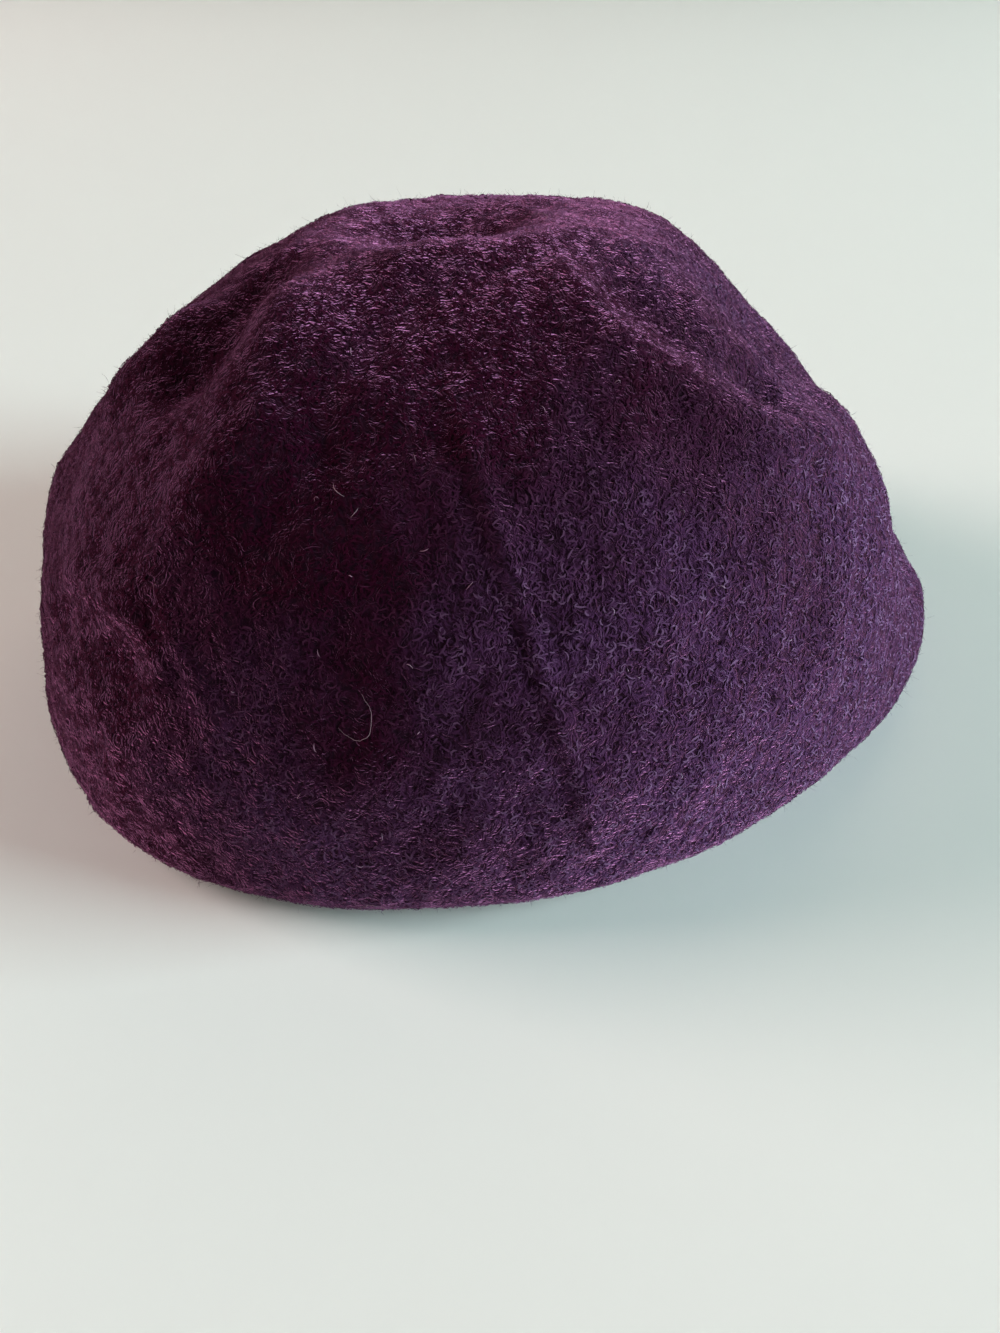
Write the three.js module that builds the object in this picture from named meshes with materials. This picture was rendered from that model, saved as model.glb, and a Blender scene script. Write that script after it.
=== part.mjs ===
// Baker boy cap in boiled wool felt. Millimetres, +Z up, the front (the peak) towards -Y.
//
// The cap is one felt wall. The outer skin starts at the middle of the crown, bulges out to the widest
// part, flows into a short peak at the front, rolls under at the lower edge and lies flat up to the head
// opening. The inner skin follows the same way back, one wall thickness inside.
//
// Places on the cap are given by bearing (degrees round from the front, +90 towards +X) and by distance
// (millimetres along the felt from the middle of the crown), as on a flat pattern of the cap.

import * as THREE from 'three';

const WALL = 2.6;

// Crown and lower edge: the edge rolls under in a quarter circle
const CROWN_HEIGHT = 132.5;
const EDGE_ROLL = 13;

// Peak: how far it reaches past the crown, how far round it runs, the height that it flows out at, the
// rolled edge that it falls to, and how far the middle of that edge arches up
const PEAK_REACH = 38;
const PEAK_HALF_ANGLE = 86;
const PEAK_TOP_HEIGHT = 34;
const PEAK_EDGE_ROLL = 7;
const PEAK_EDGE_HEIGHT = 6;
const PEAK_ARCH = 5;

// Front of the crown: fuller than a quarter ellipse, with a soft crease just above the peak
const FRONT_FULLNESS = 0.16;
const CREASE_DEPTH = 3;
const CREASE_HEIGHT = 37;
const CREASE_WIDTH = 6;

// Head opening, an oval for a 57 cm head
const OPENING_LENGTH = 200;
const OPENING_WIDTH = 165;

// Widest part of the crown in plan, at equal steps round from the front
const OUTLINE = [
  { bearing: 0, radius: 123.4 },
  { bearing: 30, radius: 122 },
  { bearing: 60, radius: 122.5 },
  { bearing: 90, radius: 123.6 },
  { bearing: 120, radius: 134 },
  { bearing: 150, radius: 131.4 },
  { bearing: 180, radius: 135.9 },
  { bearing: 210, radius: 128 },
  { bearing: 240, radius: 120.9 },
  { bearing: 270, radius: 120.8 },
  { bearing: 300, radius: 125.4 },
  { bearing: 330, radius: 120.2 },
];

// Hollows pressed into the crown, and swellings where depth is below 0: length runs down the crown,
// width runs round it
const HOLLOWS = [
  { name: 'top dish', bearing: 50, distance: 13, length: 36, width: 30, depth: 8 },
  { name: 'floor of the dish', bearing: 160, distance: 13, length: 27, width: 21, depth: 8 },
  { name: 'right shoulder', bearing: -48, distance: 88, length: 38, width: 38, depth: 13.5 },
  { name: 'left shoulder', bearing: 128, distance: 88, length: 44, width: 30, depth: 7 },
  { name: 'right of the dish', bearing: -14, distance: 46, length: 22, width: 24, depth: 2.5 },
  { name: 'right knuckle', bearing: -55, distance: 113, length: 12, width: 15, depth: -3.3 },
  { name: 'right pit', bearing: -80, distance: 92, length: 12, width: 9, depth: 4 },
  { name: 'right edge of the crown', bearing: -20, distance: 96, length: 16, width: 16, depth: 2 },
  { name: 'right flank', bearing: -60, distance: 150, length: 14, width: 16, depth: 1.8 },
  { name: 'back of the crown', bearing: 22, distance: 48, length: 15, width: 24, depth: 1.8 },
  { name: 'back left of the crown', bearing: 100, distance: 64, length: 18, width: 22, depth: 2.4 },
  { name: 'left notch', bearing: 138, distance: 123, length: 12, width: 16, depth: 3.4 },
  { name: 'left flank', bearing: 151, distance: 139, length: 9, width: 12, depth: -1.6 },
];

// How fast a hollow's bell falls away over its length and width
const HOLLOW_SHARPNESS = 1.18;

// Folds, raised or (where lift is below 0) sunk: each path is a start, two bends and an end, given as
// [bearing, distance]
const FOLDS = [
  {
    name: 'right ridge', width: 9, lift: 3.5,
    path: [[-27, 20], [-134, 76], [-94, 115], [-59, 123]],
  },
  {
    name: 'right valley', width: 10, lift: -2,
    path: [[2, 28], [-134, 62], [-89, 105], [-53, 120]],
  },
  {
    name: 'left ridge', width: 12, lift: 5,
    path: [[165, 48], [-173, 81], [-156, 98], [-178, 135]],
  },
  {
    name: 'left valley', width: 9.5, lift: -5.5,
    path: [[148, 50], [170, 70], [178, 84], [171, 106]],
  },
  {
    name: "left shoulder's band", width: 9, lift: 4,
    path: [[149, 72], [163, 86], [163, 99], [158, 120]],
  },
  {
    name: 'dish rim', width: 9, lift: 2,
    path: [[176, 52], [-157, 41], [-117, 40], [-45, 25]],
  },
  {
    name: 'low ridge', width: 6, lift: 2.2,
    path: [[168, 147], [177, 140], [-174, 138], [-164, 152]],
  },
  {
    name: 'low valley', width: 8, lift: -1.8,
    path: [[168, 159], [178, 153], [-174, 151], [-168, 160]],
  },
];

// A fold rises and dies away over this share of its own length at each end
const FOLD_FADE = 0.28;
const FOLD_STEPS = 24;

// Hollows and folds die away below this height, so that the lower edge lies flat
const CALM_HEIGHT = 16;

// Grid: columns round the cap, and rows along the felt on each stretch of the section
const COLUMNS = 72;
const CROWN_ROWS = 27;
const ROLL_ROWS = 5;
const UNDER_ROWS = 2;

const { clamp, degToRad, lerp, smoothstep } = THREE.MathUtils;

/** Radius of the crown's widest part: the sum of the even waves that pass through every outline row. */
function outlineRadius(bearing) {
  const count = OUTLINE.length;
  let radius = 0;
  for (let wave = 0; wave <= count / 2; wave += 1) {
    const share = wave === 0 || wave === count / 2 ? 1 / count : 2 / count;
    for (const row of OUTLINE) {
      radius += share * row.radius * Math.cos(wave * (bearing - degToRad(row.bearing)));
    }
  }
  return radius;
}

/** How much of the peak there is at a bearing: 1 at the front, falling smoothly to 0 at its ends. */
function peakShare(bearing) {
  const fromFront = Math.abs(Math.atan2(Math.sin(bearing), Math.cos(bearing)));
  const along = Math.min(fromFront / degToRad(PEAK_HALF_ANGLE), 1);
  return (1 + Math.cos(Math.PI * along)) / 2;
}

/** Radius of the oval head opening. */
function openingRadius(bearing) {
  const lengthways = Math.cos(bearing) / (OPENING_LENGTH / 2);
  const sideways = Math.sin(bearing) / (OPENING_WIDTH / 2);
  return 1 / Math.hypot(lengthways, sideways);
}

/** A bell curve: 1 at 0, about a third at 1, next to nothing past 2. */
function bell(offset) {
  return Math.exp(-offset * offset);
}

/** The section at a bearing, from the middle of the crown to the head opening, as [radius, height]. */
function sectionPoints(bearing) {
  const share = peakShare(bearing);
  const front = share * share;
  const crownRadius = outlineRadius(bearing);
  const reach = PEAK_REACH * share;
  const roll = lerp(EDGE_ROLL, PEAK_EDGE_ROLL, front);
  const widestHeight = lerp(EDGE_ROLL, PEAK_EDGE_HEIGHT, front);
  const rise = CROWN_HEIGHT - widestHeight;
  const arch = PEAK_ARCH * front;
  const points = [];

  // Crown: a quarter ellipse down to the widest part, with the peak flaring out of its foot
  for (let row = 0; row < CROWN_ROWS; row += 1) {
    const angle = (Math.PI / 2) * (1 - row / CROWN_ROWS);
    const height = widestHeight + rise * Math.sin(angle);
    const dome = crownRadius * Math.cos(angle) ** (1 - FRONT_FULLNESS * front);
    const flare = reach * (1 - smoothstep(height, widestHeight, PEAK_TOP_HEIGHT));
    const crease = CREASE_DEPTH * share * bell((height - CREASE_HEIGHT) / CREASE_WIDTH);
    const lift = arch * (1 - smoothstep(height, 0, PEAK_TOP_HEIGHT));
    points.push([dome + flare - crease, height + lift]);
  }

  // Lower edge: a quarter ellipse rolling under
  const rollCentre = crownRadius + reach - roll;
  for (let row = 0; row <= ROLL_ROWS; row += 1) {
    const angle = (Math.PI / 2) * (row / ROLL_ROWS);
    const height = widestHeight * (1 - Math.sin(angle));
    points.push([rollCentre + roll * Math.cos(angle), height + arch]);
  }

  // Underside: in to the head opening, flat but for the arch of the peak
  const opening = openingRadius(bearing);
  for (let row = 1; row <= UNDER_ROWS; row += 1) {
    const inwards = row / UNDER_ROWS;
    points.push([lerp(rollCentre, opening, inwards), arch * (1 - inwards)]);
  }
  return points;
}

/** A place on the flat pattern. */
function patternPoint(bearing, distance) {
  return new THREE.Vector2(Math.sin(bearing), -Math.cos(bearing)).multiplyScalar(distance);
}

/** Depth of a hollow at a place on the flat pattern: an oval bell. */
function hollowDepth(hollow, place) {
  const bearing = degToRad(hollow.bearing);
  const offset = place.clone().sub(patternPoint(bearing, hollow.distance));
  const down = patternPoint(bearing, 1);
  const along = offset.dot(down) / hollow.length;
  const across = offset.cross(down) / hollow.width;
  return hollow.depth * bell(HOLLOW_SHARPNESS * Math.hypot(along, across));
}

const foldPaths = FOLDS.map((fold) => {
  const corners = fold.path.map(
    ([bearing, distance]) => patternPoint(degToRad(bearing), distance),
  );
  return new THREE.CubicBezierCurve(...corners).getPoints(FOLD_STEPS);
});

/** Height of a fold at a place on the flat pattern: a bell across the fold, faded at its ends. */
function foldHeight(fold, path, place) {
  let nearest = Infinity;
  let along = 0;
  for (let step = 0; step < FOLD_STEPS; step += 1) {
    const leg = path[step + 1].clone().sub(path[step]);
    const offset = place.clone().sub(path[step]);
    const part = clamp(offset.dot(leg) / leg.lengthSq(), 0, 1);
    const distance = offset.sub(leg.multiplyScalar(part)).length();
    if (distance < nearest) {
      nearest = distance;
      along = (step + part) / FOLD_STEPS;
    }
  }
  const fade = smoothstep(along, 0, FOLD_FADE) * smoothstep(1 - along, 0, FOLD_FADE);
  return fold.lift * fade * bell(nearest / fold.width);
}

/** How far the felt stands proud of the plain form at a place on the flat pattern. */
function feltLift(place) {
  let lift = 0;
  for (const hollow of HOLLOWS) {
    lift -= hollowDepth(hollow, place);
  }
  FOLDS.forEach((fold, index) => {
    lift += foldHeight(fold, foldPaths[index], place);
  });
  return lift;
}

/** Triangles of a skin: vertex 0 is the middle of the crown, then come the rows of columns. */
function skinTriangles(rows) {
  const vertex = (row, column) => 1 + (row - 1) * COLUMNS + (column % COLUMNS);
  const triangles = [];
  for (let column = 0; column < COLUMNS; column += 1) {
    triangles.push(0, vertex(1, column), vertex(1, column + 1));
    for (let row = 1; row < rows; row += 1) {
      const [a, b] = [vertex(row, column), vertex(row, column + 1)];
      const [c, d] = [vertex(row + 1, column), vertex(row + 1, column + 1)];
      triangles.push(a, c, b, b, c, d);
    }
  }
  return triangles;
}

/** Moves each vertex along its own normal by the distance that shift gives for it. */
function offsetSkin(skin, shift) {
  const moved = skin.clone();
  const position = moved.attributes.position;
  const point = new THREE.Vector3();
  const normal = new THREE.Vector3();
  for (let index = 0; index < position.count; index += 1) {
    normal.fromBufferAttribute(skin.attributes.normal, index);
    point.fromBufferAttribute(position, index).addScaledVector(normal, shift(index));
    position.setXYZ(index, point.x, point.y, Math.max(point.z, 0));
  }
  moved.computeVertexNormals();
  return moved;
}

/** The outer skin: the plain sections, then the hollows and folds. */
function outerSkin(rows) {
  const positions = [0, 0, CROWN_HEIGHT];
  const lifts = [feltLift(patternPoint(0, 0))];
  const sections = [];
  for (let column = 0; column < COLUMNS; column += 1) {
    const bearing = (2 * Math.PI * column) / COLUMNS;
    const points = sectionPoints(bearing);
    let distance = 0;
    const places = points.map(([radius, height], row) => {
      if (row > 0) {
        distance += Math.hypot(radius - points[row - 1][0], height - points[row - 1][1]);
      }
      return patternPoint(bearing, distance);
    });
    sections.push({ bearing, points, places });
  }
  for (let row = 1; row <= rows; row += 1) {
    for (const { bearing, points, places } of sections) {
      const [radius, height] = points[row];
      positions.push(radius * Math.sin(bearing), -radius * Math.cos(bearing), height);
      lifts.push(feltLift(places[row]) * smoothstep(height, 0, CALM_HEIGHT));
    }
  }
  const skin = new THREE.BufferGeometry();
  skin.setAttribute('position', new THREE.Float32BufferAttribute(positions, 3));
  skin.setIndex(skinTriangles(rows));
  skin.computeVertexNormals();
  return offsetSkin(skin, (index) => lifts[index]);
}

/** The felt wall: outer skin, inner skin turned to face inwards, and the cut edge at the head opening. */
function feltWall() {
  const rows = CROWN_ROWS + ROLL_ROWS + UNDER_ROWS;
  const outer = outerSkin(rows);
  const inner = offsetSkin(outer, () => -WALL);
  const outerIndex = skinTriangles(rows);
  const count = outer.attributes.position.count;
  const innerIndex = outerIndex.map((vertex) => vertex + count).reverse();

  const firstOfEdge = count - COLUMNS;
  const edgeIndex = [];
  for (let column = 0; column < COLUMNS; column += 1) {
    const a = firstOfEdge + column;
    const b = firstOfEdge + ((column + 1) % COLUMNS);
    edgeIndex.push(a, a + count, b, b, a + count, b + count);
  }

  const wall = new THREE.BufferGeometry();
  const positions = [...outer.attributes.position.array, ...inner.attributes.position.array];
  wall.setAttribute('position', new THREE.Float32BufferAttribute(positions, 3));
  wall.setIndex([...outerIndex, ...innerIndex, ...edgeIndex]);
  wall.computeVertexNormals();
  return wall;
}

/** Centres the footprint on the origin, leaving the underside at height 0. */
function centreFootprint(geometry) {
  geometry.computeBoundingBox();
  const centre = geometry.boundingBox.getCenter(new THREE.Vector3());
  geometry.translate(-centre.x, -centre.y, 0);
}

const felt = new THREE.MeshStandardMaterial({ color: 0x3a1b30, roughness: 0.95, metalness: 0 });

function buildCap() {
  const geometry = feltWall();
  centreFootprint(geometry);
  const cap = new THREE.Mesh(geometry, felt);
  cap.name = 'felt_cap';
  const group = new THREE.Group();
  group.add(cap);
  return group;
}

export default buildCap();
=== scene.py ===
"""Baker boy cap in boiled wool felt, lying on a pale floor.

The felt wall repeats the cap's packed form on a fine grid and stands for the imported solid. Curly
felted fibres, standing fuzz, a few pale lint hairs and pale flecks are laid over it. Shapes are
worked out in millimetres with the cap's front (the peak) towards -Y, and are turned into metres
when a mesh is made.

Places on the cap are given by bearing (degrees round from the front, +90 towards +X) and distance
(millimetres along the felt from the middle of the crown), as on a flat pattern of the cap.
"""

import math

import bpy
import numpy as np
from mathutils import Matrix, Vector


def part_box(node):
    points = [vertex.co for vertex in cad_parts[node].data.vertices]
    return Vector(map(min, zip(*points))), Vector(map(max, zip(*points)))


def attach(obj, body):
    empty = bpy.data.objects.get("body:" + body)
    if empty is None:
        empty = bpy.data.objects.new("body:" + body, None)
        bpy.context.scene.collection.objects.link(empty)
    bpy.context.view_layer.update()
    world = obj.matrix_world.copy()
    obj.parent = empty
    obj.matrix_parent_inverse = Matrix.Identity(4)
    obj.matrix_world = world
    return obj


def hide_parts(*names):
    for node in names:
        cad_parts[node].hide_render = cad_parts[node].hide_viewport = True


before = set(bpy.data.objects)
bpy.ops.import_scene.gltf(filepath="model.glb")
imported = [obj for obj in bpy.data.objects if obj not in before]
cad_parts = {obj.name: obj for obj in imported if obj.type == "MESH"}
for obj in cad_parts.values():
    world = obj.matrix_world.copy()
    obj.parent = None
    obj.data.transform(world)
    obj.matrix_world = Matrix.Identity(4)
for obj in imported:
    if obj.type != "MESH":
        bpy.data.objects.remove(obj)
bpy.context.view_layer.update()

MM = 0.001

# ---------------------------------------------------------------- sizes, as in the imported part

WALL = 2.6

# Crown and lower edge: the edge rolls under in a quarter circle
CROWN_HEIGHT = 132.5
EDGE_ROLL = 13.0

# Peak: how far it reaches past the crown, how far round it runs, the height that it flows out at,
# the rolled edge that it falls to, and how far the middle of that edge arches up
PEAK_REACH = 38.0
PEAK_HALF_ANGLE = 86.0
PEAK_TOP_HEIGHT = 34.0
PEAK_EDGE_ROLL = 7.0
PEAK_EDGE_HEIGHT = 6.0
PEAK_ARCH = 5.0

# Front of the crown: fuller than a quarter ellipse, with a soft crease just above the peak
FRONT_FULLNESS = 0.16
CREASE_DEPTH = 3.0
CREASE_HEIGHT = 37.0
CREASE_WIDTH = 6.0

# Oval head opening
OPENING_LENGTH = 200.0
OPENING_WIDTH = 165.0

# Radius of the crown's widest part, every 30 degrees round from the front
OUTLINE = (123.4, 122, 122.5, 123.6, 134, 131.4, 135.9, 128, 120.9, 120.8, 125.4, 120.2)

# Hollows: name, bearing, distance, length down the crown, width round it, depth (below 0 for a
# swelling), and how fast every hollow's bell falls away
HOLLOWS = (
    ("top dish", 50, 13, 36, 30, 8),
    ("floor of the dish", 160, 13, 27, 21, 8),
    ("right shoulder", -48, 88, 38, 38, 13.5),
    ("left shoulder", 128, 88, 44, 30, 7),
    ("right of the dish", -14, 46, 22, 24, 2.5),
    ("right knuckle", -55, 113, 12, 15, -3.3),
    ("right pit", -80, 92, 12, 9, 4),
    ("right edge of the crown", -20, 96, 16, 16, 2),
    ("right flank", -60, 150, 14, 16, 1.8),
    ("back of the crown", 22, 48, 15, 24, 1.8),
    ("back left of the crown", 100, 64, 18, 22, 2.4),
    ("left notch", 138, 123, 12, 16, 3.4),
    ("left flank", 151, 139, 9, 12, -1.6),
)
HOLLOW_SHARPNESS = 1.18

# Folds: name, start, two bends and end as (bearing, distance), width, lift (below 0 for a valley).
# A fold rises and dies away over FOLD_FADE of its own length at each end.
FOLDS = (
    ("right ridge", (-27, 20), (-134, 76), (-94, 115), (-59, 123), 9, 3.5),
    ("right valley", (2, 28), (-134, 62), (-89, 105), (-53, 120), 10, -2),
    ("left ridge", (165, 48), (-173, 81), (-156, 98), (-178, 135), 12, 5),
    ("left valley", (148, 50), (170, 70), (178, 84), (171, 106), 9.5, -5.5),
    ("left shoulder's band", (149, 72), (163, 86), (163, 99), (158, 120), 9, 4),
    ("dish rim", (176, 52), (-157, 41), (-117, 40), (-45, 25), 9, 2),
    ("low ridge", (168, 147), (177, 140), (-174, 138), (-164, 152), 6, 2.2),
    ("low valley", (168, 159), (178, 153), (-174, 151), (-168, 160), 8, -1.8),
)
FOLD_FADE = 0.28
FOLD_STEPS = 24

# Hollows and folds die away below this height, so that the lower edge lies flat
CALM_HEIGHT = 16.0

# ---------------------------------------------------------------- sizes of the felt's surface

# Grid of the felt wall: columns round it; rows of the crown, the rolled edge and the turned-under
# felt; and how many outer rows there are to each row of the inner skin
COLUMNS = 400
OUTER_ROWS = (150, 26, 12)
INNER_EVERY = 4

# Finer creases that only the felt's surface shows, with the folds' columns
CREASES = (
    ("middle crease", (-143, 66), (-134, 106), (-127.6, 150), (-119.5, 207), 2.1, 1),
    ("middle crease's dip", (-147, 66), (-136.6, 106), (-129.6, 150), (-121.3, 206), 2.6, -0.4),
    ("left groove", (-174, 136), (-170, 142), (-167, 147), (-164, 156), 2.4, -1.5),
    ("left groove's bank", (-171, 141), (-166, 146), (-165, 152), (-158, 160), 5, 1.2),
)

# Unevenness of hand-felted wool: wavelengths, and the height of each wave as a share of its length.
# Each sways by up to WAVE_SWAY radians, in waves WAVE_SWAY_STRETCH times as long.
WAVE_LENGTHS = (34, 30, 27, 24, 21, 19, 17, 15, 13, 12, 10.5, 9.5, 8.5, 7.5)
WAVE_SHARE = 0.0075
WAVE_SWAY = 0.8
WAVE_SWAY_STRETCH = 2.3

RANDOM = np.random.default_rng(57)


# ---------------------------------------------------------------- the cap's form

def smoothstep(value, low, high):
    """0 below low, 1 above high and a smooth S between: 3t^2 - 2t^3."""
    t = np.clip((value - low) / (high - low), 0, 1)
    return t * t * (3 - 2 * t)


def bell(offset):
    """A bell curve, exp(-offset^2)."""
    return np.exp(-offset * offset)


def outline_radius(bearing):
    """The sum of the even waves that pass through every outline row."""
    count = len(OUTLINE)
    steps = np.radians(np.arange(count) * 360 / count)
    radius = np.zeros_like(bearing)
    for wave in range(count // 2 + 1):
        share = (1 if wave in (0, count // 2) else 2) / count
        for step, row in zip(steps, OUTLINE):
            radius += share * row * np.cos(wave * (bearing - step))
    return radius


def peak_share(bearing):
    """1 at the front, falling as half a cosine wave to 0 at the ends of the peak."""
    from_front = np.abs(np.arctan2(np.sin(bearing), np.cos(bearing)))
    return (1 + np.cos(np.pi * np.minimum(from_front / math.radians(PEAK_HALF_ANGLE), 1))) / 2


def opening_radius(bearing):
    """Polar radius of the oval: 1 / sqrt((cos / half length)^2 + (sin / half width)^2)."""
    along = 2 * np.cos(bearing) / OPENING_LENGTH
    across = 2 * np.sin(bearing) / OPENING_WIDTH
    return 1 / np.hypot(along, across)


def section(bearing, crown_rows, roll_rows, under_rows):
    """Radius and height of the outer skin at each bearing (first axis) and row (second axis).

    A quarter ellipse falls from the middle of the crown to the widest part, with the peak flaring
    out of its foot; a small quarter ellipse rolls under; a straight line runs in to the opening.
    """
    bearing = bearing[:, None]
    share = peak_share(bearing)
    front = share * share
    crown = outline_radius(bearing)
    reach = PEAK_REACH * share
    roll = EDGE_ROLL + (PEAK_EDGE_ROLL - EDGE_ROLL) * front
    widest = EDGE_ROLL + (PEAK_EDGE_HEIGHT - EDGE_ROLL) * front
    arch = PEAK_ARCH * front
    roll_centre = crown + reach - roll

    angle = (math.pi / 2) * (1 - np.arange(crown_rows) / crown_rows)[None, :]
    height = widest + (CROWN_HEIGHT - widest) * np.sin(angle)
    dome = crown * np.cos(angle) ** (1 - FRONT_FULLNESS * front)
    flare = reach * (1 - smoothstep(height, widest, PEAK_TOP_HEIGHT))
    crease = CREASE_DEPTH * share * bell((height - CREASE_HEIGHT) / CREASE_WIDTH)
    lift = arch * (1 - smoothstep(height, 0, PEAK_TOP_HEIGHT))
    crown_part = (dome + flare - crease, height + lift)

    angle = (math.pi / 2) * (np.arange(roll_rows + 1) / roll_rows)[None, :]
    roll_part = (roll_centre + roll * np.cos(angle), widest * (1 - np.sin(angle)) + arch)

    inwards = ((np.arange(under_rows) + 1) / under_rows)[None, :]
    under_radius = roll_centre + (opening_radius(bearing) - roll_centre) * inwards
    under_part = (under_radius, arch * (1 - inwards))

    return tuple(np.hstack(pair) for pair in zip(crown_part, roll_part, under_part))


def pattern_point(bearing, distance):
    """A place on the flat pattern: distance from its middle, in the direction of the bearing."""
    return distance * np.sin(bearing), -distance * np.cos(bearing)


def hollow_depth(u, v, bearing, distance, length, width, depth):
    """An oval bell, with its length down the crown and its width round it."""
    turn = math.radians(bearing)
    centre = pattern_point(turn, distance)
    down = pattern_point(turn, 1)
    along = ((u - centre[0]) * down[0] + (v - centre[1]) * down[1]) / length
    across = ((u - centre[0]) * down[1] - (v - centre[1]) * down[0]) / width
    return depth * bell(HOLLOW_SHARPNESS * np.hypot(along, across))


def pattern_curve(places, steps):
    """A cubic Bezier curve from its start, two bends and end, as the pattern's u and v."""
    corners = [pattern_point(math.radians(bearing), distance) for bearing, distance in places]
    t = np.linspace(0, 1, steps + 1)
    shares = ((1 - t) ** 3, 3 * t * (1 - t) ** 2, 3 * t * t * (1 - t), t ** 3)
    return [sum(share * corner[axis] for share, corner in zip(shares, corners))
            for axis in range(2)]


def fold_height(u, v, start, first_bend, second_bend, end, width, lift):
    """A bell across the distance to a curve on the flat pattern, faded at both its ends."""
    path = pattern_curve((start, first_bend, second_bend, end), FOLD_STEPS)
    nearest = np.full(u.shape, np.inf)
    share = np.zeros(u.shape)
    for step in range(FOLD_STEPS):
        leg = [axis[step + 1] - axis[step] for axis in path]
        offset = (u - path[0][step], v - path[1][step])
        along = offset[0] * leg[0] + offset[1] * leg[1]
        part = np.clip(along / (leg[0] ** 2 + leg[1] ** 2), 0, 1)
        distance = np.hypot(offset[0] - part * leg[0], offset[1] - part * leg[1])
        closer = distance < nearest
        nearest = np.where(closer, distance, nearest)
        share = np.where(closer, (step + part) / FOLD_STEPS, share)
    fade = smoothstep(share, 0, FOLD_FADE) * smoothstep(1 - share, 0, FOLD_FADE)
    return lift * fade * bell(nearest / width)


def felt_lift(u, v):
    """How far the felt stands proud of the plain form: folds less hollows."""
    lift = np.zeros(u.shape)
    for _, *hollow in HOLLOWS:
        lift -= hollow_depth(u, v, *hollow)
    for _, *fold in FOLDS + CREASES:
        lift += fold_height(u, v, *fold)
    return lift


def wave_field(lengths):
    """A field in space: the sum of sine waves in random directions, each as high as it is long.

    A second, longer sine wave in another direction sways the phase of each.
    """
    waves = [(length, unit(RANDOM.normal(size=3)), unit(RANDOM.normal(size=3)),
              *RANDOM.uniform(0, 2 * math.pi, 2)) for length in lengths]

    def field(points):
        height = np.zeros(points.shape[:-1])
        for length, direction, bend, phase, second in waves:
            sway_length = WAVE_SWAY_STRETCH * length
            sway = WAVE_SWAY * np.sin(points @ bend * (2 * math.pi / sway_length) + second)
            height += length * np.sin(points @ direction * (2 * math.pi / length) + phase + sway)
        return height

    return field


def unit(vectors):
    """Vectors scaled to length 1."""
    return vectors / np.maximum(np.linalg.norm(vectors, axis=-1, keepdims=True), 1e-12)


def grid_normals(points):
    """Outward normals of a (bearing, row) grid whose first row is the pole.

    Each is the cross product of the differences down the column and round the row, at length 1.
    """
    around = np.roll(points, -1, 0) - np.roll(points, 1, 0)
    down = np.gradient(points, axis=1)
    normals = unit(np.cross(down, around))
    normals[:, 0] = (0, 0, 1)
    return normals


def outer_skin():
    """Points, normals and pattern places of the outer skin.

    The plain sections are pushed out along their normals by the folds and the felt's waves, and in
    by the hollows, and no point goes below the table.
    """
    bearing = np.arange(COLUMNS) * 2 * math.pi / COLUMNS
    radius, height = section(bearing, *OUTER_ROWS)
    step = np.hypot(np.diff(radius, axis=1), np.diff(height, axis=1))
    distance = np.hstack([np.zeros((COLUMNS, 1)), np.cumsum(step, axis=1)])
    u, v = pattern_point(bearing[:, None], distance)
    x, y = radius * np.sin(bearing[:, None]), -radius * np.cos(bearing[:, None])
    plain = np.stack([x, y, height], -1)
    lift = felt_lift(u, v) + WAVE_SHARE * wave_field(WAVE_LENGTHS)(plain)
    lift = lift * smoothstep(height, 0, CALM_HEIGHT)
    points = plain + grid_normals(plain) * lift[..., None]
    points[..., 2] = np.maximum(points[..., 2], 0)
    return points, grid_normals(points), u, v


# ---------------------------------------------------------------- meshes

def add_piece(name, vertices, faces, material):
    """A smooth mesh at the origin, from whole arrays in millimetres, that rides on the cap."""
    mesh = bpy.data.meshes.new(name)
    faces = np.asarray(faces)
    sides = faces.shape[1]
    mesh.vertices.add(len(vertices))
    mesh.vertices.foreach_set("co", (np.asarray(vertices) * MM).astype(np.float32).ravel())
    mesh.loops.add(faces.size)
    mesh.loops.foreach_set("vertex_index", faces.astype(np.int32).ravel())
    mesh.polygons.add(len(faces))
    mesh.polygons.foreach_set("loop_start", np.arange(0, faces.size, sides, dtype=np.int32))
    mesh.polygons.foreach_set("loop_total", np.full(len(faces), sides, dtype=np.int32))
    mesh.polygons.foreach_set("use_smooth", np.full(len(faces), True))
    mesh.update(calc_edges=True)
    mesh.validate()
    mesh.materials.append(material)
    piece = bpy.data.objects.new(name, mesh)
    bpy.context.scene.collection.objects.link(piece)
    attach(piece, "root")
    return piece


def quads(first, rows, columns, flip=False):
    """Quads of a grid stored row by row, closed round its columns, as two triangles each."""
    row, column = np.meshgrid(np.arange(rows - 1), np.arange(columns), indexing="ij")
    after = (column + 1) % columns
    a, b = first + row * columns + column, first + row * columns + after
    c, d = a + columns, b + columns
    faces = np.stack([np.stack([a, c, b], -1), np.stack([b, c, d], -1)], 2).reshape(-1, 3)
    return faces[:, ::-1] if flip else faces


def fan(pole, first, columns, flip=False):
    """The triangles round a pole."""
    column = np.arange(columns)
    after = (column + 1) % columns
    faces = np.stack([np.full(columns, pole), first + column, first + after], -1)
    return faces[:, ::-1] if flip else faces


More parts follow.
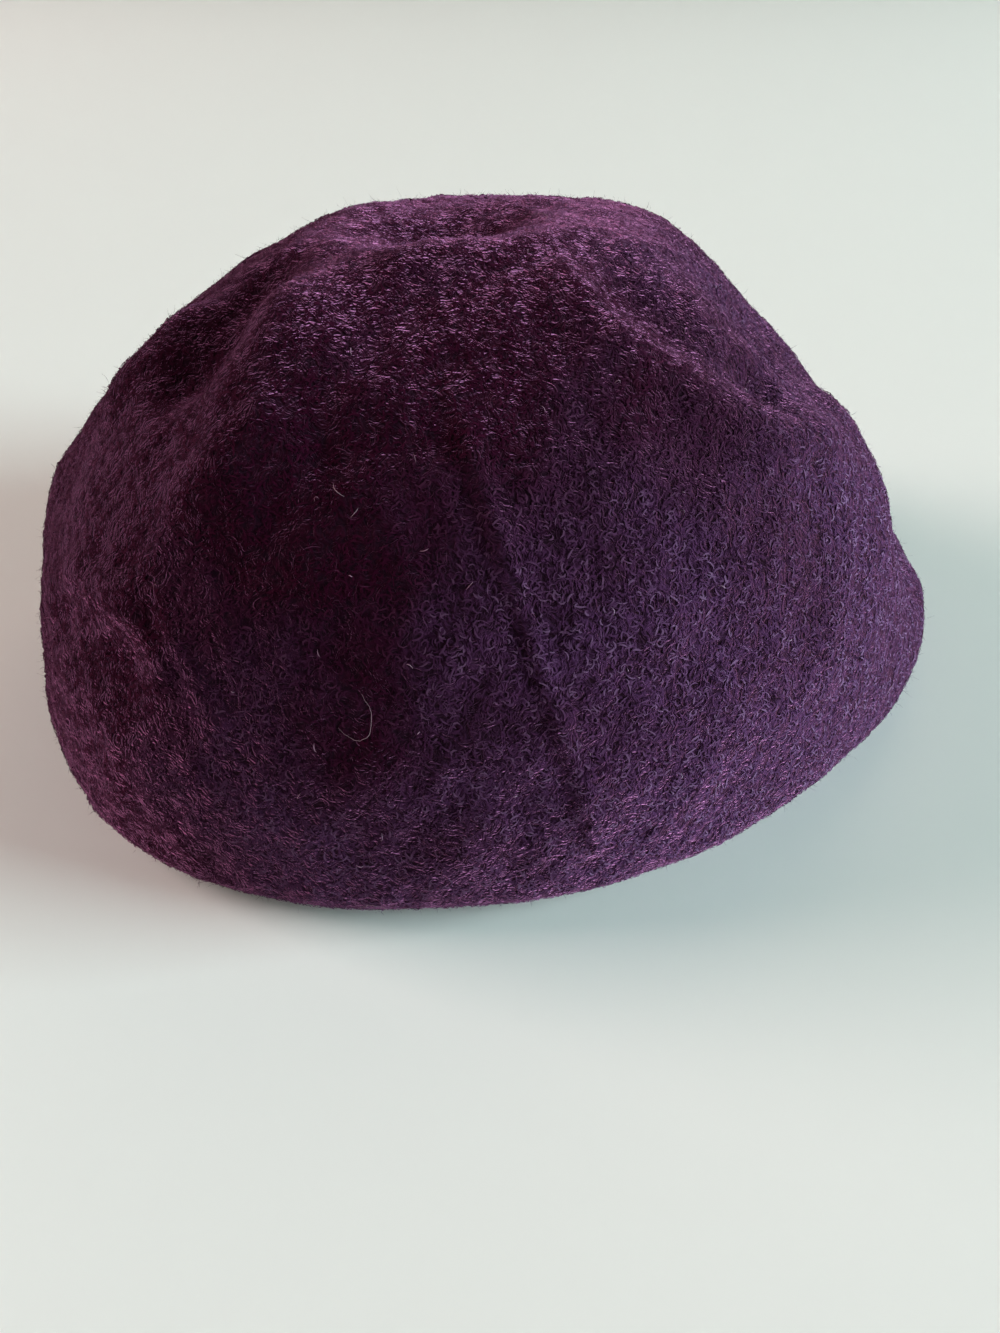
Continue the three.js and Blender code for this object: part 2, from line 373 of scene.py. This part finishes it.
def felt_wall(points, normals, material):
    """The closed felt wall: outer skin, a coarser inner skin one wall inside, and the cut edge."""
    rows = points.shape[1]
    outer = points.transpose(1, 0, 2)
    inner_rows = np.unique(np.append(np.arange(INNER_EVERY, rows, INNER_EVERY), rows - 1))
    inner = (points - WALL * normals).transpose(1, 0, 2)[inner_rows]
    inner[..., 2] = np.maximum(inner[..., 2], 0)
    pole = points[:1, 0]
    inner_pole = pole - (0, 0, WALL)
    vertices = np.vstack([pole, outer[1:].reshape(-1, 3), inner_pole, inner.reshape(-1, 3)])
    first_inner = 1 + (rows - 1) * COLUMNS
    last_inner = first_inner + 1 + (len(inner_rows) - 1) * COLUMNS
    last_outer = first_inner - COLUMNS
    column = np.arange(COLUMNS)
    after = (column + 1) % COLUMNS
    edge = np.concatenate([
        np.stack([last_outer + column, last_inner + column, last_outer + after], -1),
        np.stack([last_outer + after, last_inner + column, last_inner + after], -1),
    ])
    faces = np.concatenate([
        fan(0, 1, COLUMNS),
        quads(1, rows - 1, COLUMNS),
        fan(first_inner, first_inner + 1, COLUMNS, flip=True),
        quads(first_inner + 1, len(inner_rows), COLUMNS, flip=True),
        edge,
    ])
    return add_piece("felt_cap_wall", vertices, faces, material)


# Felt lower than RESTING_HEIGHT lies on the table. It takes these shares of the felted and of the
# loose fibres, and all fibres stay FIBRE_CLEARANCE above the table.
RESTING_HEIGHT = 0.5
FELTED_UNDERNEATH = 0.12
LOOSE_UNDERNEATH = 0.05
FIBRE_CLEARANCE = 0.05

# Any slanting direction, to lay out tangents from, and a ribbon's width at its ends over its middle
SLANT = (0.31, 0.17, 0.93)
RIBBON_END = 0.35

# How far fibres are shaded like the felt under them, from 0 to 1
FELT_LEAN = 0.85


def share_of_fibres(points, underneath):
    """How densely each point takes fibres: 1, but less underneath, on the felt that lies down."""
    return np.where(points[..., 2] > RESTING_HEIGHT, 1.0, underneath)


def scatter(count, points, normals, weight):
    """Random places on the outer skin, evenly by area times weight.

    Returns each place, its normal and two tangents. A random cell of the grid is drawn by its share
    of the summed area, and a place in it by two random shares of its sides.
    """
    here = points[:, :-1]
    below = points[:, 1:]
    right = np.roll(points, -1, 0)[:, :-1]
    area = np.linalg.norm(np.cross(right - here, below - here), axis=-1) * weight[:, :-1]
    chance = np.cumsum(area.ravel())
    cell = np.searchsorted(chance, RANDOM.random(count) * chance[-1])
    column, row = np.unravel_index(cell, area.shape)
    s, t = RANDOM.random((2, count))

    def blend(field):
        """The field at each place, bilinear between its cell's four corners."""
        next_column = (column + 1) % COLUMNS
        top = field[column, row] * (1 - s)[:, None] + field[next_column, row] * s[:, None]
        low = field[column, row + 1] * (1 - s)[:, None] + field[next_column, row + 1] * s[:, None]
        return top * (1 - t)[:, None] + low * t[:, None]

    place, normal = blend(points), unit(blend(normals))
    east = unit(np.cross(normal, SLANT))
    return place, normal, east, np.cross(normal, east)


def fibre_ribbons(place, normal, east, north, length, turn, rise, width, steps, heading, tilt):
    """Ribbons along arcs over the felt.

    Each arc is centred on its place, has a heading in the felt's plane and turns evenly by its
    turn. Its height over the felt follows rise, a function of the share along it. The ribbon
    narrows to both ends, and its flat side is tilted out of the felt's plane by tilt.
    """
    share = np.linspace(0, 1, steps + 1)[None, :]
    angle = heading[:, None] + turn[:, None] * (share - 0.5)
    direction = np.cos(angle)[..., None] * east[:, None] + np.sin(angle)[..., None] * north[:, None]
    stride = length[:, None, None] / steps
    middle = (direction[:, 1:] + direction[:, :-1]) / 2
    start = np.zeros_like(direction[:, :1])
    along = np.concatenate([start, np.cumsum(middle * stride, axis=1)], axis=1)
    along -= along.mean(axis=1, keepdims=True)
    spine = place[:, None] + along + rise(share)[..., None] * normal[:, None]
    side = np.cross(normal[:, None], direction)
    side = np.cos(tilt)[:, None, None] * side + np.sin(tilt)[:, None, None] * normal[:, None]
    return ribbons_along(spine, side, width)


def ribbons_along(spine, side, width):
    """Vertices and quads of ribbons along spines (ribbon, step, xyz) with their sides' directions.

    The width swells from its ends to its middle as half a sine wave.
    """
    count, places = spine.shape[:2]
    narrow = RIBBON_END + (1 - RIBBON_END) * np.sin(np.linspace(0, math.pi, places))
    half = (width[:, None] * narrow / 2)[..., None] * side
    points = np.stack([spine - half, spine + half], axis=2)
    points[..., 2] = np.maximum(points[..., 2], FIBRE_CLEARANCE)
    first = (np.arange(count) * 2 * places)[:, None] + 2 * np.arange(places - 1)[None, :]
    faces = np.stack([first, first + 2, first + 3, first + 1], -1).reshape(-1, 4)
    return points.reshape(-1, 3), faces


def shade_like_felt(piece, normals):
    """Leans the normals that a piece of ribbons is shaded with towards the felt's under them.

    Each is the felt's normal times FELT_LEAN plus the ribbon's own times what is left, at length 1.
    """
    own = np.empty(3 * len(piece.data.vertices), np.float32)
    piece.data.vertex_normals.foreach_get("vector", own)
    own = own.reshape(-1, 3)
    felt = np.repeat(normals, len(own) // len(normals), axis=0)
    leaned = unit(FELT_LEAN * felt + (1 - FELT_LEAN) * own)
    piece.data.normals_split_custom_set_from_vertices(leaned)


# ---------------------------------------------------------------- materials

class Value:
    """A node's output. Sums, differences and products with it add Math nodes."""

    def __init__(self, shader, socket):
        self.shader = shader
        self.socket = socket

    def maths(self, operation, first, second):
        return self.shader.node("ShaderNodeMath", {"operation": operation}, {0: first, 1: second})

    def __add__(self, other):
        return self.maths("ADD", self, other)

    def __sub__(self, other):
        return self.maths("SUBTRACT", self, other)

    def __rsub__(self, other):
        return self.maths("SUBTRACT", other, self)

    def __mul__(self, other):
        return self.maths("MULTIPLY", self, other)

    __radd__ = __add__
    __rmul__ = __mul__


class Shader:
    """A material with one Principled surface, and the way to add nodes to it."""

    def __init__(self, name, **sockets):
        self.material = bpy.data.materials.new(name)
        self.material.use_nodes = True
        self.tree = self.material.node_tree
        self.surface = self.tree.nodes["Principled BSDF"]
        for socket, value in sockets.items():
            self.surface.inputs[socket.replace("_", " ")].default_value = value

    def node(self, kind, settings, inputs, output=0):
        """Adds a node: its settings first, then its sockets' values or links."""
        node = self.tree.nodes.new(kind)
        for name, value in settings.items():
            setattr(node, name, value)
        for name, value in inputs.items():
            if isinstance(value, Value):
                self.tree.links.new(value.socket, node.inputs[name])
            else:
                node.inputs[name].default_value = value
        return Value(self, node.outputs[output])

    def feed(self, socket, value):
        """Links a value to the surface."""
        self.tree.links.new(value.socket, self.surface.inputs[socket])

    def noise(self, where, scale, detail=2.0, roughness=0.5, distortion=0.0):
        """Noise from 0 to 1 at that many waves a metre."""
        settings = {"noise_dimensions": "3D"}
        inputs = {"Vector": where, "Scale": scale, "Detail": detail, "Roughness": roughness,
                  "Distortion": distortion}
        return self.node("ShaderNodeTexNoise", settings, inputs)

    def curls(self, where, scale, sharpness):
        """Winding lines along the middle of a noise: 1 - sharpness x distance from 0.5, or 0."""
        noise = self.noise(where, scale, detail=1, distortion=2.2)
        apart = self.node("ShaderNodeMath", {"operation": "ABSOLUTE"}, {0: noise - 0.5})
        inputs = {0: 1 - apart * sharpness, 1: 0.0}
        return self.node("ShaderNodeMath", {"operation": "MAXIMUM"}, inputs)

    def spread(self, value, low, high, interpolation="LINEAR"):
        """0 where the value is low, 1 where it is high, and straight or S-shaped between."""
        inputs = {"Value": value, "From Min": low, "From Max": high}
        return self.node("ShaderNodeMapRange", {"interpolation_type": interpolation}, inputs)

    def place(self):
        """Where a point of the object lies."""
        return self.node("ShaderNodeTexCoord", {}, {}, output="Object")

    def axes(self, where):
        """The x, y and z of a place."""
        x = self.node("ShaderNodeSeparateXYZ", {}, {"Vector": where})
        return [Value(self, socket) for socket in x.socket.node.outputs]

    def mix(self, share, first, second):
        """The first colour turning into the second."""
        inputs = {"Factor": share, 6: first, 7: second}
        return self.node("ShaderNodeMix", {"data_type": "RGBA"}, inputs, output=2)


def linear(*rgb):
    """An opaque linear colour from display values of 0 to 255, by the usual curve of displays.

    The darkest values are divided by 12.92; the others are ((value + 0.055) / 1.055)^2.4.
    """
    values = [c / 255 for c in rgb]
    return (*(c / 12.92 if c <= 0.04045 else ((c + 0.055) / 1.055) ** 2.4 for c in values), 1)


# Wool: painted shade for the gaps between curls, its two colours, and the sheen that all of it has
GAP_SHADE = linear(25, 8, 19)
WINE = linear(44, 7, 25)
VIOLET = linear(76, 44, 80)
WOOL_SHEEN = {"Sheen_Roughness": 0.32, "Sheen_Tint": (1.0, 0.34, 0.74, 1),
              "Specular_IOR_Level": 0.03}

# Drift from wine to violet: clouds a metre, for the wool's own heathering; how much more violet a
# metre to the front right and a metre down make it, which is painted light (lighter and more violet
# where the cool window lights the right side and on the lower felt, darker wine on top); what is
# added, and where it begins and ends
CLOUDS = 16
PAINTED_LIGHT_ACROSS = 1.9
PAINTED_LIGHT_DOWN = 3.6
VIOLET_ADDED = 0.2
VIOLET_BEGINS = 0.3
VIOLET_ENDS = 0.75

# Felted ground: waves a metre of tufts, coarse curls and fine curls; the curls' sharpness; what
# each adds to the height; the heights where the painted gap shade ends and wool is full; and the
# depth in metres
TUFTS, COARSE_CURLS, FINE_CURLS = 130, 210, 400
COARSE_SHARPNESS, FINE_SHARPNESS = 7, 6
TUFT_SHARE, COARSE_SHARE, FINE_SHARE = 0.5, 0.55, 0.35
GAP_SHADE_HEIGHT, FULL_HEIGHT = 0.3, 1.1
GROUND_DEPTH = 0.0007


def wool_heather_and_painted_light(shader, where):
    """How violet the wool is: clouds of noise for its heathering, and a lean to lighter violet to the
    front right and below that is painted light from the cool window and on the lower felt.
    """
    clouds = shader.noise(where, CLOUDS, detail=3)
    x, y, z = shader.axes(where)
    # The clouds are heathering; the lean to the front right and downward is painted light.
    leaning = clouds - (x + y) * PAINTED_LIGHT_ACROSS - z * PAINTED_LIGHT_DOWN + VIOLET_ADDED
    return shader.spread(leaning, VIOLET_BEGINS, VIOLET_ENDS)


def felt_material():
    """Felted ground between the fibres: painted shade in the gaps between curls, over wool that
    drifts from wine to violet by heathering and painted light.

    A curl is a contour line of smooth noise: 1 where the noise is at its middle, falling evenly.
    """
    shader = Shader("felt_ground", Roughness=0.95, Sheen_Weight=0.75, **WOOL_SHEEN)
    where = shader.place()
    tufts = shader.noise(where, TUFTS, detail=3, roughness=0.6, distortion=1.2)
    coarse = shader.curls(where, COARSE_CURLS, COARSE_SHARPNESS)
    fine = shader.curls(where, FINE_CURLS, FINE_SHARPNESS)
    height = coarse * COARSE_SHARE + fine * FINE_SHARE + tufts * TUFT_SHARE
    shade = shader.spread(height, GAP_SHADE_HEIGHT, FULL_HEIGHT)
    wool = shader.mix(wool_heather_and_painted_light(shader, where), WINE, VIOLET)
    # Painted shade: the dark gap colour goes where the bump's height is low, between the curls.
    shader.feed("Base Color", shader.mix(shade, GAP_SHADE, wool))
    bump = {"Height": height, "Strength": 0.9, "Distance": GROUND_DEPTH}
    shader.feed("Normal", shader.node("ShaderNodeBump", {}, bump))
    return shader.material


def fibre_material(name, wine, violet):
    """One shade of fibre, drifting from its wine to its violet like the ground: heathering, and
    painted light towards the front right and below.
    """
    shader = Shader(name, Roughness=0.9, Sheen_Weight=0.28, **WOOL_SHEEN)
    where = shader.place()
    shader.feed("Base Color", shader.mix(wool_heather_and_painted_light(shader, where), wine, violet))
    return shader.material


# ---------------------------------------------------------------- fibres

# Felted fibres: name, their wine, their violet, how many, lowest and highest rise over the felt
FIBRE_SHADES = (
    ("felted_fibres_deep", linear(32, 5, 19), linear(42, 18, 44), 16000, 0.05, 0.22),
    ("felted_fibres_plum", linear(43, 6, 26), linear(78, 46, 80), 32000, 0.08, 0.36),
    ("felted_fibres_mid", linear(49, 8, 30), linear(97, 64, 99), 32000, 0.1, 0.42),
    ("felted_fibres_light", linear(55, 11, 33), linear(116, 84, 118), 14000, 0.14, 0.5),
)
# Their length and width, the tilt of their flat side, how far they turn and how far they stray from
# the way that the nap is combed (millimetres and radians)
FIBRE_LENGTH = (1.1, 2.9)
FIBRE_WIDTH = (0.24, 0.52)
FIBRE_TILT = 0.22
FIBRE_TURN = (0.4, 3.4)
FIBRE_STRAY = 1.2

# Waves that leave gaps between tufts of fibres, how many places are tried for each fibre, and how
# much chance there is in which of them are taken
TUFT_LENGTHS = (5.3, 4.1, 3.3, 2.7, 2.2, 1.8)
PLACES_TRIED = 1.5
TUFT_CHANCE = 2.0


def combing(place):
    """Which way the nap lies at each place, in radians: slow sine waves across and down the cap."""
    swirl = 2.2 * np.sin(place[:, 0] / 9 + 2 * np.sin(place[:, 1] / 13))
    return swirl + 1.6 * np.sin(place[:, 2] / 8)


def felted_fibres(points, normals):
    """Curly fibres matted flat on the felt, in a few shades, each shade one joined piece.

    More places are tried than needed, and the ones where the tufts' waves are highest are taken. A
    fibre rises as half a sine wave to the power 0.7, from 0.02 mm over the felt.
    """
    weight = share_of_fibres(points, FELTED_UNDERNEATH)
    tufts = wave_field(TUFT_LENGTHS)
    for name, wine, violet, count, low, high in FIBRE_SHADES:
        tried = scatter(int(PLACES_TRIED * count), points, normals, weight)
        fullness = tufts(tried[0]) + RANDOM.normal(0, TUFT_CHANCE, len(tried[0]))
        chosen = np.argsort(fullness)[-count:]
        place, normal, east, north = (values[chosen] for values in tried)
        heading = combing(place) + RANDOM.normal(0, FIBRE_STRAY, count)
        length = RANDOM.uniform(*FIBRE_LENGTH, count)
        turn = RANDOM.choice((-1, 1), count) * RANDOM.uniform(*FIBRE_TURN, count)
        height = RANDOM.uniform(low, high, count)[:, None]
        ribbons = fibre_ribbons(
            place, normal, east, north, length, turn,
            rise=lambda share: height * np.sin(np.pi * share) ** 0.7 + 0.02,
            width=RANDOM.uniform(*FIBRE_WIDTH, count), steps=3, heading=heading,
            tilt=RANDOM.normal(0, FIBRE_TILT, count),
        )
        shade_like_felt(add_piece(name, *ribbons, fibre_material(name, wine, violet)), normal)


# Standing fuzz: how many, lengths, widths, turn and tilt
FUZZ_COUNT = 9000
FUZZ_LENGTH = (1.2, 3.4)
FUZZ_WIDTH = (0.05, 0.1)
FUZZ_TURN = 2.2
FUZZ_TILT = 0.8
FUZZ_WINE = linear(86, 44, 66)
FUZZ_VIOLET = linear(104, 70, 108)


def standing_fuzz(points, normals):
    """Thin fibres with one loose end standing up from the felt.

    The height grows as the power 1.5 of the share along the fibre, to 0.3 mm plus a gamma draw.
    """
    spots = scatter(FUZZ_COUNT, points, normals, share_of_fibres(points, LOOSE_UNDERNEATH))
    height = (0.3 + RANDOM.gamma(2.0, 0.4, FUZZ_COUNT))[:, None]
    ribbons = fibre_ribbons(
        *spots, RANDOM.uniform(*FUZZ_LENGTH, FUZZ_COUNT),
        RANDOM.normal(0, FUZZ_TURN, FUZZ_COUNT),
        rise=lambda share: height * share ** 1.5,
        width=RANDOM.uniform(*FUZZ_WIDTH, FUZZ_COUNT), steps=4,
        heading=RANDOM.uniform(0, 2 * math.pi, FUZZ_COUNT),
        tilt=RANDOM.normal(0, FUZZ_TILT, FUZZ_COUNT),
    )
    add_piece("standing_fuzz", *ribbons, fibre_material("fuzz", FUZZ_WINE, FUZZ_VIOLET))


# Loose pale hairs: name, start, two bends and end as (bearing, distance), width
LINT_HAIRS = (
    ("hook on the face", (-153.5, 101), (-153.4, 102.2), (-152.6, 103.2), (-151.7, 103.4), 0.12),
    ("stray beside it", (-149.8, 105), (-149.8, 106), (-150.2, 106.8), (-150.5, 107.2), 0.1),
    ("long curl", (-147, 142), (-144.5, 147), (-146, 156), (-149, 150), 0.11),
    ("loop at the lower edge", (-148, 201), (-147, 193), (-145, 193), (-144.5, 200), 0.12),
    ("stray at the right edge", (-76.5, 184.5), (-76, 181.5), (-74, 182), (-73, 183.5), 0.12),
    ("hair over the dish", (0, 14), (-20, 17), (-42, 19), (-60, 17), 0.1),
    ("stray on the back", (40, 120), (42, 124), (46, 124), (45, 118), 0.1),
)
HAIR_STEPS = 14
HAIR_COLOUR = linear(166, 134, 148)

# How widely the skin's points are averaged under a hair, and how high its ends and middle lie
HAIR_SPREAD = 1.2
HAIR_END_RISE = 0.45
HAIR_BOW = 0.7


def lint_hairs(points, normals, u, v):
    """Pale hairs lying loose on the felt, each along a curve on the flat pattern and bowed up.

    A place on the pattern is found on the felt as the mean of the skin's points, weighted by a bell
    of their distance from it on the pattern. The bow is half a sine wave.
    """
    rise = HAIR_END_RISE + HAIR_BOW * np.sin(np.pi * np.linspace(0, 1, HAIR_STEPS + 1))
    spines, sides, widths = [], [], []
    for _, *places, width in LINT_HAIRS:
        across, down = (axis[:, None, None] for axis in pattern_curve(places, HAIR_STEPS))
        near = bell(np.hypot(u - across, v - down) / HAIR_SPREAD)
        near /= near.sum((1, 2), keepdims=True)
        normal = unit(np.einsum("scr,crx->sx", near, normals))
        spine = np.einsum("scr,crx->sx", near, points) + rise[:, None] * normal
        spines.append(spine)
        sides.append(unit(np.cross(normal, np.gradient(spine, axis=0))))
        widths.append(width)
    ribbons = ribbons_along(np.stack(spines), np.stack(sides), np.array(widths))
    add_piece("lint_hairs", *ribbons, fibre_material("lint", HAIR_COLOUR, HAIR_COLOUR))


# Pale flecks: how many, heights, lengths, widths, turn and tilt
FLECK_COUNT = 260
FLECK_HEIGHT = (0.5, 1.1)
FLECK_LENGTH = (0.6, 2.4)
FLECK_WIDTH = (0.1, 0.2)
FLECK_TURN = 1.6
FLECK_TILT = 0.5
FLECK_WINE = linear(150, 108, 128)
FLECK_VIOLET = linear(168, 140, 164)


def pale_flecks(points, normals):
    """Short bright fibre ends caught in the felt, bowed up as the root of half a sine wave."""
    spots = scatter(FLECK_COUNT, points, normals, share_of_fibres(points, LOOSE_UNDERNEATH))
    height = RANDOM.uniform(*FLECK_HEIGHT, FLECK_COUNT)[:, None]
    ribbons = fibre_ribbons(
        *spots, RANDOM.uniform(*FLECK_LENGTH, FLECK_COUNT),
        RANDOM.normal(0, FLECK_TURN, FLECK_COUNT),
        rise=lambda share: height * np.sin(np.pi * share) ** 0.5,
        width=RANDOM.uniform(*FLECK_WIDTH, FLECK_COUNT), steps=4,
        heading=RANDOM.uniform(0, 2 * math.pi, FLECK_COUNT),
        tilt=RANDOM.normal(0, FLECK_TILT, FLECK_COUNT),
    )
    add_piece("pale_flecks", *ribbons, fibre_material("flecks", FLECK_WINE, FLECK_VIOLET))


# ---------------------------------------------------------------- floor, light and camera

# The floor's flat rings, its flat radius, the radius of its bend up into the backdrop and the
# backdrop's height, in metres; the points of the bend; columns round it; and its two colours
FLOOR_RINGS = (0.0, 0.5, 1.5, 3.5)
FLOOR_RADIUS = 6.6
FLOOR_BEND = 2.0
BACKDROP_HEIGHT = 9.0
BEND_POINTS = 17
FLOOR_COLUMNS = 96
FLOOR_COLOUR = linear(243, 241, 237)
BACKDROP_COLOUR = linear(190, 189, 182)


def floor_material():
    """A pale satin floor that greys over the lowest quarter of the backdrop."""
    shader = Shader("pale_floor", Roughness=0.45)
    z = shader.axes(shader.place())[2]
    rise = shader.spread(z, 0.0, BACKDROP_HEIGHT / 4, "SMOOTHSTEP")
    shader.feed("Base Color", shader.mix(rise, FLOOR_COLOUR, BACKDROP_COLOUR))
    return shader.material


def floor_and_backdrop():
    """A pale round floor that curves up into a backdrop: a profile turned about the Z axis.

    The profile is a straight line, a quarter circle and an upright line.
    """
    bend = np.linspace(0, math.pi / 2, BEND_POINTS)
    wall = FLOOR_RADIUS + FLOOR_BEND
    radius = np.concatenate([FLOOR_RINGS, FLOOR_RADIUS + FLOOR_BEND * np.sin(bend), [wall]])
    flat = np.zeros(len(FLOOR_RINGS))
    height = np.concatenate([flat, FLOOR_BEND - FLOOR_BEND * np.cos(bend), [BACKDROP_HEIGHT]])
    columns = FLOOR_COLUMNS
    turn = np.arange(columns) * 2 * math.pi / columns
    ring = np.stack([radius[1:, None] * np.cos(turn), radius[1:, None] * np.sin(turn),
                     np.repeat(height[1:, None], columns, 1)], -1).reshape(-1, 3)
    vertices = np.vstack([[[0, 0, 0]], ring])
    faces = np.concatenate([fan(0, 1, columns), quads(1, len(radius) - 1, columns)])
    mesh = bpy.data.meshes.new("floor")
    mesh.from_pydata(vertices.tolist(), [], faces.tolist())
    mesh.polygons.foreach_set("use_smooth", np.full(len(faces), True))
    mesh.materials.append(floor_material())
    floor = bpy.data.objects.new("floor", mesh)
    bpy.context.scene.collection.objects.link(floor)


# The camera looks along this heading (degrees anticlockwise from +X) and down by this pitch. Its
# places are in metres from the crown's axis and the floor, and its lens and film in millimetres.
HEADING = -45.0
PITCH = 38.0
CAMERA_BACK = 0.2705
CAMERA_SIDE = 0.0044
CAMERA_HEIGHT = 0.193
LENS = 27.0
FILM = 36.0
NEAREST_SEEN = 0.01

# Soft lights: name, azimuth round from the camera's heading and elevation (degrees), distance,
# width and height (metres), power (watts), colour. They face a point LIT_HEIGHT over the floor.
SOFT_LIGHTS = (
    ("warm_left", 80, 25, 4.8, 2.4, 2.4, 200, (1.0, 0.8, 0.78)),
    ("cool_window", -96, 13.5, 6, 3.2, 2.4, 740, (0.73, 0.98, 1.0)),
    ("warm_behind", -20, 45, 4.8, 2.4, 2.4, 18, (1.0, 0.74, 0.6)),
)
LIT_HEIGHT = 0.05
ROOM_COLOUR = (0.96, 1.0, 1.0, 1)
ROOM_STRENGTH = 0.04


def area_light(name, azimuth, elevation, distance, width, height, power, colour):
    """A soft light at that azimuth (0 = +X, anticlockwise) and elevation, facing the cap."""
    data = bpy.data.lights.new(name, "AREA")
    data.shape = "RECTANGLE"
    data.size = width
    data.size_y = height
    data.energy = power
    data.color = colour
    light = bpy.data.objects.new(name, data)
    turn, up = math.radians(azimuth), math.radians(elevation)
    light.location = (
        distance * math.cos(up) * math.cos(turn),
        distance * math.cos(up) * math.sin(turn),
        distance * math.sin(up) + LIT_HEIGHT,
    )
    light.rotation_euler = (math.pi / 2 - up, 0, turn + math.pi / 2)
    bpy.context.scene.collection.objects.link(light)


def lights():
    """A warm light on the left, a cool window on the right, a small warm one behind, a dim room."""
    for name, round_from_heading, *rest in SOFT_LIGHTS:
        area_light(name, HEADING + round_from_heading, *rest)
    world = bpy.data.worlds.new("room")
    world.use_nodes = True
    background = world.node_tree.nodes["Background"]
    background.inputs["Color"].default_value = ROOM_COLOUR
    background.inputs["Strength"].default_value = ROOM_STRENGTH
    bpy.context.scene.world = world


def camera(crown_axis):
    """The camera stands back from the crown's axis, a little to the side, and looks down."""
    data = bpy.data.cameras.new("camera")
    data.sensor_width = FILM
    data.lens = LENS
    data.clip_start = NEAREST_SEEN
    seat = bpy.data.objects.new("camera", data)
    turn = math.radians(HEADING)
    forward = (math.cos(turn), math.sin(turn))
    right = (math.sin(turn), -math.cos(turn))
    seat.location = (
        crown_axis[0] - CAMERA_BACK * forward[0] + CAMERA_SIDE * right[0],
        crown_axis[1] - CAMERA_BACK * forward[1] + CAMERA_SIDE * right[1],
        CAMERA_HEIGHT,
    )
    seat.rotation_euler = (math.radians(90 - PITCH), 0, turn - math.pi / 2)
    bpy.context.scene.collection.objects.link(seat)
    bpy.context.scene.camera = seat


# ---------------------------------------------------------------- build

def build():
    """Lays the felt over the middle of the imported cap, then the fibres, floor, light and camera."""
    points, normals, u, v = outer_skin()
    low, high = (np.array(corner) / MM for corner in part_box("felt_cap"))
    shift = (low + high) / 2 - (points.min((0, 1)) + points.max((0, 1))) / 2
    shift[2] = 0
    points += shift
    cap = felt_wall(points, normals, felt_material())
    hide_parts("felt_cap")
    felted_fibres(points, normals)
    standing_fuzz(points, normals)
    lint_hairs(points, normals, u, v)
    pale_flecks(points, normals)
    floor_and_backdrop()
    lights()
    camera(shift[:2] * MM)
    bpy.context.scene.view_settings.view_transform = "Standard"


build()
